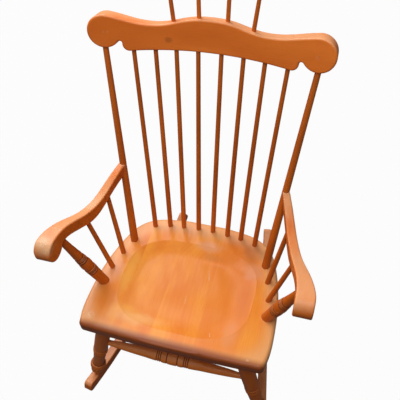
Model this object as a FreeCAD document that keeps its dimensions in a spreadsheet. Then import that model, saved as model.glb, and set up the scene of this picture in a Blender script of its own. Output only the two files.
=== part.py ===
import FreeCAD, Part
import math
import os
import Sketcher

# A spindle-back rocking chair with a scrolled crest rail, a small head comb
# above it, scroll arms, turned legs and stretchers, and a pair of rockers.
# Millimetres. +Z is up, the chair faces -Y, +X is on the right seen from the
# front. The origin is on the floor under the middle of the chair's box.
# The seat's own frame starts at the top of the plank, midway between the two
# middle spindle holes: x to the right, y to the back, z square to the plank.

doc = FreeCAD.newDocument("rocking_chair")
sheet = doc.addObject("Spreadsheet::Sheet", "Sizes")

# Driving dimensions: name, value in mm or degrees, what it is
SIZES = [
    ("seat_height", 398.0, "top of the plank at the middle spindles, above the floor"),
    ("seat_setback", 132.5, "the same point, behind the middle of the chair's box"),
    ("seat_tilt", 5.5, "degrees the plank leans back"),
    ("seat_thickness", 34.0, "plank"),
    ("seat_front", 419.0, "middle spindles to the front edge, at the middle"),
    ("seat_front_bow", 5.0, "the front edge is this much further out at the middle"),
    ("seat_rear", 27.0, "middle spindles to the rear edge"),
    ("seat_half_width", 279.0, "half the plank's width at its widest"),
    ("seat_corner", 16.0, "radius of the front corners, seen from above"),
    ("seat_top_round", 11.0, "rounding of the plank's upper edge"),
    ("seat_under_round", 5.0, "rounding of the plank's lower edge"),
    ("hollow_depth", 13.0, "deepest point of the dished seat"),
    ("hollow_half_width", 230.0, "half the width of the dish"),
    ("hollow_rear", 44.0, "middle spindles to the rear of the dish"),
    ("hollow_front", 398.0, "middle spindles to the front of the dish"),
    ("front_roll", 36.0, "length of the rolled-over front edge"),
    ("front_roll_drop", 6.0, "how far the top falls over that length"),
    ("crest_height", 586.0, "lower edge of the crest rail over the plank, at the middle"),
    ("crest_setback", 99.0, "the same point behind the middle spindles"),
    ("crest_tilt", 11.0, "degrees the rail's face leans back"),
    ("crest_bend", 1327.0, "radius of the rail's hollow front face, seen from above"),
    ("crest_back_bend", 2080.0, "radius of its back face, which makes the scrolls thicker"),
    ("crest_thickness", 32.0, "rail, at its middle"),
    ("crest_depth", 86.0, "height of the rail at its middle"),
    ("crest_half_length", 269.5, "middle of the rail to the middle of a scroll"),
    ("crest_scroll", 42.0, "radius of the round scroll"),
    ("crest_scroll_height", 40.0, "middle of the scroll over the lower edge"),
    ("crest_arch", 1760.0, "radius of the shallow arc under the rail"),
    ("crest_round", 5.0, "rounding of the rail's edges"),
    ("head_offset", 6.0, "the head comb stands this far to the right of the middle"),
    ("head_gap", 106.0, "open length of the head comb's spindles"),
    ("head_depth", 52.0, "height of the head rail at its middle"),
    ("head_half_length", 142.0, "middle of the head rail to the middle of a scroll"),
    ("head_scroll", 26.0, "radius of its scroll"),
    ("head_scroll_height", 24.5, "middle of its scroll over its lower edge"),
    ("head_arch", 800.0, "radius of the shallow arc under the head rail"),
    ("head_thickness", 19.0, "head rail"),
    ("head_round", 2.5, "rounding of its edges"),
    ("spindle_foot", 15.6, "diameter of a back spindle at the plank"),
    ("spindle_top", 11.6, "diameter of a back spindle at the rail"),
    ("post_foot", 24.6, "diameter of a back post at the plank"),
    ("post_top", 15.4, "diameter of a back post at the rail"),
    ("head_spindle_foot", 11.0, "diameter of a head spindle at the crest rail"),
    ("head_spindle_top", 9.6, "diameter of a head spindle at the head rail"),
    ("arm_spindle_foot", 16.0, "diameter of an arm spindle at the plank"),
    ("arm_spindle_top", 13.5, "diameter of an arm spindle at the arm"),
    ("top_tenon", 17.0, "depth of a spindle in a rail"),
    ("plank_tenon", 20.0, "depth of a spindle or post in the plank"),
    ("post_tenon", 46.0, "depth of a back post in a scroll"),
    ("arm_tenon", 16.0, "depth of a spindle or post in an arm"),
    ("leg_tenon", 18.0, "depth of a leg in the plank"),
    ("rocker_tenon", 20.0, "depth of a leg in a rocker"),
    ("stretcher_tenon", 13.0, "depth of a stretcher in a leg"),
    ("shoulder", 7.0, "plain length of a turned piece outside its hole"),
    ("fit", 0.08, "clearance all round a tenon in its hole"),
    ("glue_gap", 0.3, "clearance at the bottom of a hole"),
    ("overrun", 40.0, "length by which cutting tools pass the work"),
    ("arm_length", 343.0, "from the axis of the back post to the front of the hand"),
    ("arm_seat_height", 192.0, "lowest point of the hand over the plank"),
    ("arm_rise", 66.0, "height of the scroll of the hand"),
    ("arm_back_x", 231.0, "inner side of the arm at the back post, from the middle"),
    ("arm_splay", 104.0, "how much further out the inner side is at the front"),
    ("arm_hand_width", 49.0, "widest part of the hand"),
    ("arm_round", 4.5, "rounding of the arm's edges"),
    ("arm_post_foot", 31.0, "diameter of the arm post in the plank"),
    ("arm_post_bulge", 36.5, "largest diameter of the turned arm post"),
    ("arm_post_neck", 21.0, "diameter of the arm post under the arm"),
    ("leg_bulge", 49.0, "largest diameter of a leg"),
    ("leg_head", 44.0, "diameter of a leg in the plank"),
    ("leg_foot", 22.0, "diameter of a leg in a rocker"),
    ("stretcher_bulge", 38.0, "diameter of the front stretcher at its middle"),
    ("stretcher_dowel", 17.0, "diameter of a stretcher's ends"),
    ("plain_bulge", 27.0, "diameter of the other stretchers at their middle"),
    ("rocker_radius", 950.0, "curve of the rocker's underside"),
    ("rocker_depth", 38.0, "height of a rocker"),
    ("rocker_width", 29.0, "width of a rocker"),
    ("rocker_contact", 5.5, "point that touches the floor, in front of the box's middle"),
    ("rocker_half_gauge", 231.5, "middle of a rocker there, from the middle of the chair"),
    ("rocker_toe", 9.2, "degrees the rockers close towards the back"),
    ("rocker_nose", 375.0, "from the contact to the front end"),
    ("rocker_tail", 387.0, "from the contact to the rear end"),
    ("rocker_round", 4.0, "rounding of the rocker's edges"),
    ("front_leg_station", 308.0, "front leg along the rocker, before the contact"),
    ("rear_leg_station", 188.0, "rear leg along the rocker, behind the contact"),
    ("pin", 5.0, "diameter of the pins in the scrolls"),
    ("screw_shank", 4.5, "diameter of the screws"),
    ("screw_head", 9.0, "diameter of the screw heads"),
    ("screw_head_height", 3.0, "height of the screw heads"),
    ("screw_reach", 30.0, "length of a screw"),
]

# Holes in the plank: share of its half width across, and share of its front
# part forward from the middle spindles
SPINDLE_FOOT_SHARES = [(0.086, 0.0), (0.2617, 0.0095), (0.4229, 0.0215), (0.5932, 0.0525)]
POST_FOOT_SHARES = (0.767, 0.2172)
ARM_SPINDLE_FOOT_SHARES = [(0.8262, 0.3508), (0.871, 0.4928)]
ARM_POST_FOOT_SHARES = (0.8943, 0.6205)
LEG_HEAD_SHARES = {"front": (0.7348, 0.9021), "rear": (0.5448, 0.1862)}
# Holes in the crest rail, as shares of its half length and of its thickness
POST_TOP_SHARE = 1.018
SPINDLE_TOP_SHARES = [0.112, 0.324, 0.528, 0.742]
HEAD_SPINDLE_SHARES = [(0.134, 0.144), (0.374, 0.421)]
SOCKET_SHARE = 0.36
# Holes in the arm, as shares of its length from the back post
ARM_SPINDLE_TOP_SHARES = [0.230, 0.495]
ARM_POST_TOP_SHARE = 0.775


def fill_sheet():
    """Writes every driving dimension in a cell with its name as the alias."""
    for row, (name, value, note) in enumerate(SIZES, start=1):
        sheet.set(f"A{row}", name)
        sheet.set(f"B{row}", str(value))
        sheet.set(f"C{row}", note)
        sheet.setAlias(f"B{row}", name)


fill_sheet()
doc.recompute()

known = {name: float(sheet.get(name)) for name, _, _ in SIZES}


def size(name):
    """A dimension, as the sheet gives it."""
    return known[name]


def keep_size(name, value, note):
    """Adds a length that follows from the others to the sheet."""
    known[name] = value
    row = len(known)
    sheet.set(f"A{row}", name)
    sheet.set(f"B{row}", repr(value))
    sheet.set(f"C{row}", note)
    sheet.setAlias(f"B{row}", name)


def work_out(item):
    """Brings one object and what it is made from up to date."""
    sheet.recompute()
    item.recompute(True)


X_AXIS = FreeCAD.Vector(1, 0, 0)
Y_AXIS = FreeCAD.Vector(0, 1, 0)
Z_AXIS = FreeCAD.Vector(0, 0, 1)
RIGHT = 1
LEFT = -1
SIDES = {"left": LEFT, "right": RIGHT}
NOTHING = [("fit", 0.0)]
NEARLY = 0.99
TINY = 1e-9


# Frames of reference

SEAT = FreeCAD.Placement(
    FreeCAD.Vector(0, size("seat_setback"), size("seat_height")),
    FreeCAD.Rotation(X_AXIS, -size("seat_tilt")))
CREST = SEAT * FreeCAD.Placement(
    FreeCAD.Vector(0, size("crest_setback"), size("crest_height")),
    FreeCAD.Rotation(X_AXIS, -size("crest_tilt")))


def on_seat(x, y, z=0.0):
    """A point given in the seat's frame."""
    return SEAT.multVec(FreeCAD.Vector(x, y, z))


def rocker_frame(side):
    """Contact point of a rocker with the floor, turned along the rocker."""
    return FreeCAD.Placement(
        FreeCAD.Vector(side * size("rocker_half_gauge"), -size("rocker_contact"), 0),
        FreeCAD.Rotation(Z_AXIS, side * size("rocker_toe")))


def along_line(start, end):
    """Placement at start, with Z pointing to end."""
    return FreeCAD.Placement(start, FreeCAD.Rotation(Z_AXIS, end - start))


def between(points, share):
    """Value at a share of the way along a list of (share, value)."""
    for (s0, v0), (s1, v1) in zip(points[:-1], points[1:]):
        if share <= s1:
            return v0 + (v1 - v0) * (share - s0) / (s1 - s0)
    return points[-1][1]


# Turned pieces: a half profile spun about the axis of a body

class Profile:
    """Half profile of a turned piece: stations up the axis, each with its
    height and radius as sums of named sizes times shares."""

    def __init__(self):
        self.stations = []

    def at(self, height, radius, bow=None):
        """Adds a station. Bow is a point that an arc to it passes through."""
        self.stations.append((height, radius, bow))
        return self


class Path:
    """A closed run of lines and arcs in a sketch, with every corner and the
    middle of every arc held at named distances from the sketch's origin."""

    def __init__(self, sketch):
        self.sketch = sketch
        self.rules = []

    def hold(self, element, end, across, up):
        """Holds a point of the sketch across and up from the origin."""
        for kind, axis, terms in (("DistanceX", -2, across), ("DistanceY", -1, up)):
            if abs(total(terms)) < TINY:
                rule = Sketcher.Constraint("PointOnObject", element, end, axis)
                self.rules.append((rule, None))
            else:
                rule = Sketcher.Constraint(kind, -1, 1, element, end, total(terms))
                self.rules.append((rule, formula(terms)))

    def draw(self, corners, bows):
        """Draws the run. A bow is the middle of the arc that follows its
        corner, or None for a straight line."""
        spots = [FreeCAD.Vector(total(x), total(y), 0) for x, y in corners]
        ends = []
        for start, finish_at, bow in zip(spots, spots[1:] + spots[:1], bows):
            if bow is None:
                line = Part.LineSegment(start, finish_at)
                ends.append((self.sketch.addGeometry(line, False), 1, 2))
                continue
            middle = FreeCAD.Vector(total(bow[0]), total(bow[1]), 0)
            swings_left = (finish_at - start).cross(middle - start).z < 0
            arc = Part.Arc(start, middle, finish_at)
            if not swings_left:
                arc = Part.Arc(finish_at, middle, start)
            element = self.sketch.addGeometry(arc, False)
            ends.append((element, 1, 2) if swings_left else (element, 2, 1))
            guide = self.sketch.addGeometry(Part.Point(middle), True)
            self.hold(guide, 1, *bow)
            on_arc = Sketcher.Constraint("PointOnObject", guide, 1, element)
            self.rules.append((on_arc, None))
        for (element, head, tail), following, corner in zip(ends, ends[1:] + ends[:1], corners):
            self.hold(element, head, *corner)
            join = Sketcher.Constraint("Coincident", element, tail, following[0], following[1])
            self.rules.append((join, None))
        rows = self.sketch.addConstraint([rule for rule, _ in self.rules])
        for row, (_, expression) in zip(rows, self.rules):
            if expression:
                self.sketch.setExpression(f"Constraints[{row}]", expression)


def sketch_in(body, name, role):
    """A sketch on one of a body's own origin planes."""
    sketch = body.newObject("Sketcher::SketchObject", name)
    plane = [p for p in body.Origin.OriginFeatures if p.Role == role][0]
    sketch.AttachmentSupport = [(plane, "")]
    sketch.MapMode = "FlatFace"
    return sketch


def total(terms):
    """Number that a list of (name, share) adds up to."""
    return sum(size(name) * share for name, share in terms)


def formula(terms):
    """The same sum as an expression on the sheet."""
    return " + ".join(f"Sizes.{name} * {share!r}" for name, share in terms)


def turned(name, profile):
    """A body spun from a profile, standing on its origin along Z."""
    body = doc.addObject("PartDesign::Body", name)
    sketch = sketch_in(body, name + "_profile", "XZ_Plane")
    stations = profile.stations
    corners = [(NOTHING, stations[0][0])] + [(r, h) for h, r, _ in stations]
    corners.append((NOTHING, stations[-1][0]))
    bows = [None] + [bow and (bow[1], bow[0]) for _, _, bow in stations[1:]] + [None, None]
    Path(sketch).draw(corners, bows)
    spin = body.newObject("PartDesign::Revolution", name + "_turning")
    spin.Profile = sketch
    spin.ReferenceAxis = (sketch, ["V_Axis"])
    spin.Angle = 360
    body.Tip = spin
    return body


def rod(name, radius_terms, length_terms):
    """A plain cylinder standing on its origin along Z."""
    tool = doc.addObject("Part::Cylinder", name)
    tool.setExpression("Radius", formula(radius_terms))
    tool.setExpression("Height", formula(length_terms))
    return tool


holes = {}


def bore(piece, mouth, inward, radius_terms, depth_terms, open_terms):
    """Notes a round hole: its mouth, its way in, its depth, and how far the
    cutter stands out of the mouth."""
    tools = holes.setdefault(piece, [])
    tool = rod(f"{piece}_hole_{len(tools) + 1}", radius_terms, depth_terms + open_terms)
    way = inward.normalize()
    start = mouth - way * total(open_terms)
    tool.Placement = along_line(start, mouth + way)
    tools.append(tool)


def drilled(piece, blank):
    """The blank with all the holes that were noted for the piece."""
    tools = holes.get(piece)
    if not tools:
        blank.Label = piece
        return blank
    cutters = doc.addObject("Part::Compound", piece + "_holes")
    cutters.Links = tools
    cut = doc.addObject("Part::Cut", piece + "_drilled")
    cut.Base = blank
    cut.Tool = cutters
    cut.Label = piece
    return cut


finished = []


def finish(piece, blank):
    """Drills a piece, gives it its name and puts it on the list to write."""
    blank.Label = piece + "_blank"
    finished.append(drilled(piece, blank))
    return finished[-1]


FIT = ("fit", 1.0)
GLUE = ("glue_gap", 1.0)
OPEN = [("overrun", 0.5)]


# The rails: one bent board each, sawn to a scrolled outline

RAIL_TOP_SHARES = [(0.841, 0.865), (0.710, 0.780), (0.561, 0.742), (0.430, 0.778),
                   (0.318, 0.860), (0.187, 0.958), (0.0, 1.0)]
RAIL_MIDDLE_SHARE = 0.05
NOTCH_SHARE = 0.14
LOBE_SHARE = 0.42
SCROLL_TOP_ANGLE = math.radians(99.0)
NOTCH_ANGLE = math.radians(-143.0)


def arch_centre(rail, raised):
    """Centre of the shallow arc under a rail."""
    crown = RAIL_MIDDLE_SHARE * size(rail + "_depth") + raised
    return FreeCAD.Vector(0, 0, crown - size(rail + "_arch"))


def rail_low_edge(rail, x):
    """Height of a rail's lower edge at a distance from its middle."""
    return arch_centre(rail, 0.0).z + math.sqrt(size(rail + "_arch") ** 2 - x ** 2)


def rail_top_edge(rail, x):
    """Height of a rail's upper edge at a distance from its middle."""
    shares = [(across, up) for across, up in reversed(RAIL_TOP_SHARES)]
    return size(rail + "_depth") * between(shares, abs(x) / size(rail + "_half_length"))


def polar(centre, reach, angle, side):
    """A point round a centre in the rail's face, mirrored for the left side."""
    flat = centre + FreeCAD.Vector(math.cos(angle), 0, math.sin(angle)) * reach
    return FreeCAD.Vector(side * flat.x, 0, flat.z)


def bearing(start, end):
    """Direction from one point of the face to another, as an angle."""
    return math.atan2(end.z - start.z, end.x - start.x)


def swing(centre, reach, start, end, side):
    """Arc round a centre between two angles."""
    ends = [polar(centre, reach, angle, side) for angle in (start, 0.5 * (start + end), end)]
    return Part.Arc(*ends).toShape()


def rail_outline(rail, raised):
    """Closed outline of a rail, seen square to its face."""
    half = size(rail + "_half_length")
    depth = size(rail + "_depth")
    scroll = size(rail + "_scroll")
    arch = size(rail + "_arch")
    notch = NOTCH_SHARE * scroll
    lobe = LOBE_SHARE * scroll
    ear = FreeCAD.Vector(half, 0, size(rail + "_scroll_height") + raised)
    below = arch_centre(rail, raised)
    dip = polar(ear, scroll + notch, NOTCH_ANGLE, RIGHT)
    apart = dip.distanceToPoint(below)
    reach = arch + lobe
    side_angle = math.acos(
        (apart ** 2 + reach ** 2 - (notch + lobe) ** 2) / (2 * apart * reach))
    round_end = polar(below, reach, bearing(below, dip) + side_angle, RIGHT)
    to_dip = bearing(round_end, dip)
    to_arch = bearing(round_end, below)
    arch_end = bearing(below, round_end)
    crown_points = [FreeCAD.Vector(half * across, 0, depth * up + raised)
                    for across, up in RAIL_TOP_SHARES]
    mirrored = [FreeCAD.Vector(-p.x, 0, p.z) for p in reversed(crown_points[:-1])]
    ends = [polar(ear, scroll, SCROLL_TOP_ANGLE, side) for side in (RIGHT, LEFT)]
    lean = FreeCAD.Vector(-math.sin(SCROLL_TOP_ANGLE), 0, math.cos(SCROLL_TOP_ANGLE))
    top = Part.BSplineCurve()
    top.interpolate(
        Points=[ends[0]] + crown_points + mirrored + [ends[1]],
        InitialTangent=lean, FinalTangent=FreeCAD.Vector(lean.x, 0, -lean.z))
    edges = [top.toShape(), swing(below, arch, arch_end, math.pi - arch_end, RIGHT)]
    for side in (RIGHT, LEFT):
        edges.append(swing(ear, scroll, SCROLL_TOP_ANGLE, NOTCH_ANGLE, side))
        edges.append(swing(dip, notch, math.pi + NOTCH_ANGLE, math.pi + to_dip, side))
        edges.append(swing(round_end, lobe, to_dip, to_arch, side))
    return Part.Wire(Part.__sortEdges__(edges))


def face_fall(bend, x):
    """How far a bent face has come forward at a distance from its middle."""
    return size(bend) - math.sqrt(size(bend) ** 2 - x ** 2)


def rail_point(rail, x, up, share=0.5):
    """A point of a rail, at a share of its thickness from the front."""
    front = -face_fall("crest_bend", x)
    back = size(rail + "_thickness") - face_fall("crest_back_bend", x)
    return CREST.multVec(FreeCAD.Vector(x, front + share * (back - front), up))


def bent_rail(rail, raised, aside):
    """Blank of a rail: a bent board and the scrolled outline in common."""
    outline = doc.addObject("Part::Feature", rail + "_outline")
    outline.Shape = rail_outline(rail, raised).translated(X_AXIS * aside)
    sawn = doc.addObject("Part::Extrusion", rail + "_sawn")
    sawn.Base = outline
    sawn.DirMode = "Custom"
    sawn.Dir = Y_AXIS
    sawn.setExpression("LengthFwd", "Sizes.overrun * 2")
    sawn.setExpression("LengthRev", "Sizes.overrun * 2")
    sawn.Solid = True
    faces = []
    for word, bend, forward in (("back", "crest_back_bend", size(rail + "_thickness")),
                                ("front", "crest_bend", 0.0)):
        face = doc.addObject("Part::Cylinder", f"{rail}_{word}_face")
        face.setExpression("Radius", "Sizes." + bend)
        face.setExpression("Height", "Sizes.crest_height")
        centre = FreeCAD.Vector(0, forward - size(bend), raised - size(rail + "_depth"))
        face.Placement = FreeCAD.Placement(centre, FreeCAD.Rotation())
        faces.append((face, size(bend), centre.y))
    board = doc.addObject("Part::Cut", rail + "_board")
    board.Base = faces[0][0]
    board.Tool = faces[1][0]
    blank = doc.addObject("Part::Common", rail + "_shape")
    blank.Base = sawn
    blank.Tool = board
    work_out(blank)
    close = (1 - NEARLY) * size(rail + "_thickness")
    rims = []
    for number, edge in enumerate(blank.Shape.Edges, start=1):
        ends = (edge.FirstParameter, edge.LastParameter)
        spots = [edge.valueAt(t) for t in (ends[0], 0.5 * sum(ends), ends[1])]
        for _, bend, centre_y in faces:
            if max(abs(math.hypot(p.x, p.y - centre_y) - bend) for p in spots) < close:
                rims.append((number, size(rail + "_round"), size(rail + "_round")))
    rounded = doc.addObject("Part::Fillet", rail + "_rounded")
    rounded.Base = blank
    rounded.Edges = rims
    rounded.Placement = CREST
    return rounded


# The plank: sawn to a shield outline, rounded, dished and rolled at the front

SEAT_SIDE_SHARES = [(0.9865, 0.892), (1.0, 0.733), (0.984, 0.549), (0.947, 0.408),
                    (0.886, 0.265), (0.811, 0.155), (0.719, 0.0875), (0.587, 0.040),
                    (0.480, 0.0220), (0.300, 0.0055), (0.0, 0.0)]
SEAT_CORNER_SHARE = 0.965
SEAT_CORNER_LEAN = math.radians(12.0)
HOLLOW_WALL_SHARE = 0.40
HOLLOW_FRONT_SHARE = 0.45
HOLLOW_POWER = 3.0
LIFT_SHARE = 0.2
GRID = 18
ROLL_POWER = 3


def seat_outline():
    """Closed outline of the plank in its own frame."""
    half = size("seat_half_width")
    rear = size("seat_rear")
    length = rear + size("seat_front")
    corner = size("seat_corner")
    side_x = half * SEAT_CORNER_SHARE
    lean = SEAT_CORNER_LEAN
    bow_angle = 2 * math.atan(size("seat_front_bow") / (side_x - corner))
    front_y = size("seat_front_bow") - size("seat_front")
    corner_y = front_y + corner * math.cos(bow_angle)

    def spot(x, y):
        return FreeCAD.Vector(x, y, 0)

    start = spot(side_x - corner * (1 - math.cos(lean)), corner_y - corner * math.sin(lean))
    right = [spot(half * across, rear - length * back) for across, back in SEAT_SIDE_SHARES]
    rim = Part.BSplineCurve()
    rim.interpolate(
        Points=[start] + right, InitialTangent=spot(math.sin(lean), math.cos(lean)),
        FinalTangent=-X_AXIS)
    edges = [rim.toShape(), rim.toShape().mirror(spot(0, 0), X_AXIS)]
    fronts = []
    for side in (RIGHT, LEFT):
        centre = spot(side * (side_x - corner), corner_y)
        last = math.pi / 2 - bow_angle
        spots = [centre + spot(side * corner * math.cos(a), -corner * math.sin(a))
                 for a in (lean, 0.5 * (last + lean), last)]
        edges.append(Part.Arc(*spots).toShape())
        fronts.append(spots[-1])
    edges.append(Part.Arc(fronts[0], spot(0, -size("seat_front")), fronts[1]).toShape())
    return Part.Wire(Part.__sortEdges__(edges))


def seat_surface(x, y):
    """Height of the worked top. It stays above the plank outside the dish."""
    lift = LIFT_SHARE * size("hollow_depth")
    middle = -0.5 * (size("hollow_rear") + size("hollow_front"))
    half_length = 0.5 * (size("hollow_front") - size("hollow_rear"))
    across = abs(x) / size("hollow_half_width")
    along = abs(y - middle) / half_length
    reach = (across ** HOLLOW_POWER + along ** HOLLOW_POWER) ** (1 / HOLLOW_POWER)
    inside = min(max((1 - reach) / HOLLOW_WALL_SHARE, 0.0), 1.0)
    dish = inside * inside * (3 - 2 * inside)
    forward = min(max(0.5 * (1 + (middle - y) / half_length), 0.0), 1.0)
    depth = (size("hollow_depth") + lift) * (1 - HOLLOW_FRONT_SHARE * forward)
    crest_line = size("seat_front") - size("front_roll")
    over = max((-y - crest_line) / size("front_roll"), 0.0)
    return lift - depth * dish - (size("front_roll_drop") + lift) * over ** ROLL_POWER


def seat_cutter():
    """Solid above the worked top of the plank."""
    half = size("seat_half_width") + size("overrun")
    rear = size("seat_rear") + size("overrun")
    front = size("seat_front") + size("overrun")
    rows = []
    for i in range(GRID + 1):
        x = half * (2 * i / GRID - 1)
        rows.append([FreeCAD.Vector(x, y, seat_surface(x, y)) for y in
                     (rear - (rear + front) * j / GRID for j in range(GRID + 1))])
    surface = Part.BSplineSurface()
    surface.interpolate(rows)
    return surface.toShape().extrude(Z_AXIS * size("overrun"))


def rounded_board(name, outline, thickness, rounds):
    """Board sawn from an outline downwards, with its upper and lower edges
    rounded to the named radii."""
    wire = doc.addObject("Part::Feature", name + "_outline")
    wire.Shape = outline
    sawn = doc.addObject("Part::Extrusion", name + "_sawn")
    sawn.Base = wire
    sawn.DirMode = "Custom"
    sawn.Dir = Z_AXIS
    sawn.setExpression("LengthRev", "Sizes." + thickness)
    sawn.Solid = True
    work_out(sawn)
    middle = -0.5 * size(thickness)
    edges = []
    for number, edge in enumerate(sawn.Shape.Edges, start=1):
        heights = [v.Z for v in edge.Vertexes]
        if min(heights) > middle:
            edges.append((number, size(rounds[0]), size(rounds[0])))
        if max(heights) < middle:
            edges.append((number, size(rounds[1]), size(rounds[1])))
    rounded = doc.addObject("Part::Fillet", name + "_rounded")
    rounded.Base = sawn
    rounded.Edges = edges
    return rounded


def make_plank():
    board = rounded_board("seat", seat_outline(), "seat_thickness",
                          ("seat_top_round", "seat_under_round"))
    hollow = doc.addObject("Part::Feature", "seat_hollow")
    hollow.Shape = seat_cutter()
    plank = doc.addObject("Part::Cut", "seat_worked")
    plank.Base = board
    plank.Tool = hollow
    plank.Placement = SEAT
    return plank


# Where the turned pieces run: a foot and a top for each, and the way between

def foot_in_plank(side, shares, under=0.0):
    """A point of the plank, from its shares across and forward."""
    across = side * shares[0] * size("seat_half_width")
    return on_seat(across, -shares[1] * size("seat_front"), -under)


def crest_socket(side, share):
    x = side * share * size("crest_half_length")
    return rail_point("crest", x, rail_low_edge("crest", x), SOCKET_SHARE)


HEAD_BASE = size("crest_depth") + size("head_gap")
POST_AIM_SHARE = 0.35


def post_line(side):
    """Foot of a back post and the point where it enters its scroll."""
    x = side * POST_TOP_SHARE * size("crest_half_length")
    low = size("crest_scroll_height") - size("crest_scroll")
    inside = POST_AIM_SHARE * size("post_tenon")
    aim = rail_point("crest", x, low + inside, SOCKET_SHARE)
    foot = foot_in_plank(side, POST_FOOT_SHARES)
    way = (aim - foot).normalize()
    return foot, aim - way * inside


def turned_between(piece, foot, top, foot_size, top_size, foot_tenon, top_tenon, shares):
    """A turned piece from hole to hole. Shares are its stations between the
    two shoulders: share of the way, radius terms, and a bow or None."""
    keep_size(piece + "_span", (top - foot).Length, "open length of " + piece)
    span = piece + "_span"
    base = [(foot_tenon, 1.0)]
    foot_radius = [(foot_size, 0.5)]
    top_radius = [(top_size, 0.5)]
    profile = Profile()
    profile.at(NOTHING, foot_radius)
    profile.at(base + [("shoulder", 1.0)], foot_radius)
    for share, radius, bow in shares:
        bent = (base + [(span, bow[0])], bow[1]) if bow else None
        profile.at(base + [(span, share)], radius, bent)
    profile.at(base + [(span, 1.0), ("shoulder", -1.0)], top_radius)
    profile.at(base + [(span, 1.0), (top_tenon, 1.0)], top_radius)
    body = turned(piece, profile)
    way = (top - foot).normalize()
    start = foot - way * size(foot_tenon)
    body.Placement = along_line(start, top)
    return body, way


def seat_both_ends(carriers, foot, top, way, foot_size, top_size, foot_tenon, top_tenon):
    """Bores the two holes that a turned piece stands in."""
    bore(carriers[0], foot, way * -1, [(foot_size, 0.5), FIT], [(foot_tenon, 1.0), GLUE], OPEN)
    bore(carriers[1], top, way * 1, [(top_size, 0.5), FIT], [(top_tenon, 1.0), GLUE], OPEN)


def make_back():
    """Posts and spindles between the plank and the crest rail."""
    blanks = {}
    for word, side in SIDES.items():
        piece = "back_post_" + word
        foot, top = post_line(side)
        body, way = turned_between(piece, foot, top, "post_foot", "post_top",
                                   "plank_tenon", "post_tenon", [])
        seat_both_ends(("seat", "crest_rail"), foot, top, way, "post_foot", "post_top",
                       "plank_tenon", "post_tenon")
        blanks[piece] = body
    order = [(LEFT, i) for i in (3, 2, 1, 0)] + [(RIGHT, i) for i in (0, 1, 2, 3)]
    for number, (side, i) in enumerate(order, start=1):
        piece = f"back_spindle_{number}"
        foot = foot_in_plank(side, SPINDLE_FOOT_SHARES[i])
        top = crest_socket(side, SPINDLE_TOP_SHARES[i])
        body, way = turned_between(piece, foot, top, "spindle_foot", "spindle_top",
                                   "plank_tenon", "top_tenon", [])
        seat_both_ends(("seat", "crest_rail"), foot, top, way, "spindle_foot",
                       "spindle_top", "plank_tenon", "top_tenon")
        blanks[piece] = body
    return blanks


def make_head():
    """Spindles between the crest rail and the head rail."""
    blanks = {}
    order = [(LEFT, 1), (LEFT, 0), (RIGHT, 0), (RIGHT, 1)]
    for number, (side, i) in enumerate(order, start=1):
        piece = f"head_spindle_{number}"
        low_share, high_share = HEAD_SPINDLE_SHARES[i]
        aside = size("head_offset")
        low_x = aside + side * low_share * size("crest_half_length")
        high_x = side * high_share * size("crest_half_length")
        foot = rail_point("crest", low_x, rail_top_edge("crest", low_x))
        top = rail_point("head", aside + high_x, HEAD_BASE + rail_low_edge("head", high_x))
        body, way = turned_between(piece, foot, top, "head_spindle_foot",
                                   "head_spindle_top", "top_tenon", "top_tenon", [])
        seat_both_ends(("crest_rail", "head_rail"), foot, top, way, "head_spindle_foot",
                       "head_spindle_top", "top_tenon", "top_tenon")
        blanks[piece] = body
    return blanks


# The arms: sawn to a scroll in side view and to a spoon in plan, then rounded

ARM_TOP_SHARES = [(0.0, 1.130), (0.100, 0.955), (0.185, 0.773), (0.285, 0.560),
                  (0.385, 0.447), (0.470, 0.477), (0.560, 0.614), (0.650, 0.811),
                  (0.730, 0.945), (0.815, 1.000)]
ARM_UNDER_SHARES = [(0.742, 0.343), (0.642, 0.152),
                    (0.5625, -0.023), (0.500, -0.144), (0.432, -0.177), (0.355, -0.090),
                    (0.287, 0.055), (0.200, 0.260), (0.100, 0.455), (0.0, 0.590)]
ARM_INNER_SHARES = [(0.0, 0.0), (0.300, 0.300), (0.500, 0.500), (0.700, 0.695),
                    (0.800, 0.768), (0.880, 0.792), (0.975, 0.790)]
ARM_WIDTH_SHARES = [(0.0, 0.441), (0.150, 0.500), (0.300, 0.540), (0.450, 0.570),
                    (0.550, 0.602), (0.640, 0.673), (0.730, 0.782), (0.810, 0.888),
                    (0.880, 0.967), (0.975, 0.985)]
ARM_FRONT_SHARE = 1.010
ARM_AXIS_SHARE = 0.85
ARM_SCREW_SHARE = 0.20
KNUCKLE_TURN = math.radians(248.0)
ARM_NOTCH_SHARE = 0.18


def arm_origin():
    """Where the axis of the right back post passes the height of the arm, and
    the share of the post's length below that."""
    foot, top = post_line(RIGHT)
    low = SEAT.inverse().multVec(foot)
    high = SEAT.inverse().multVec(top)
    height = size("arm_seat_height") + ARM_AXIS_SHARE * size("arm_rise")
    share = height / (high.z - low.z)
    return low + (high - low) * share, share


ARM_START, ARM_POST_SHARE = arm_origin()


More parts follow.
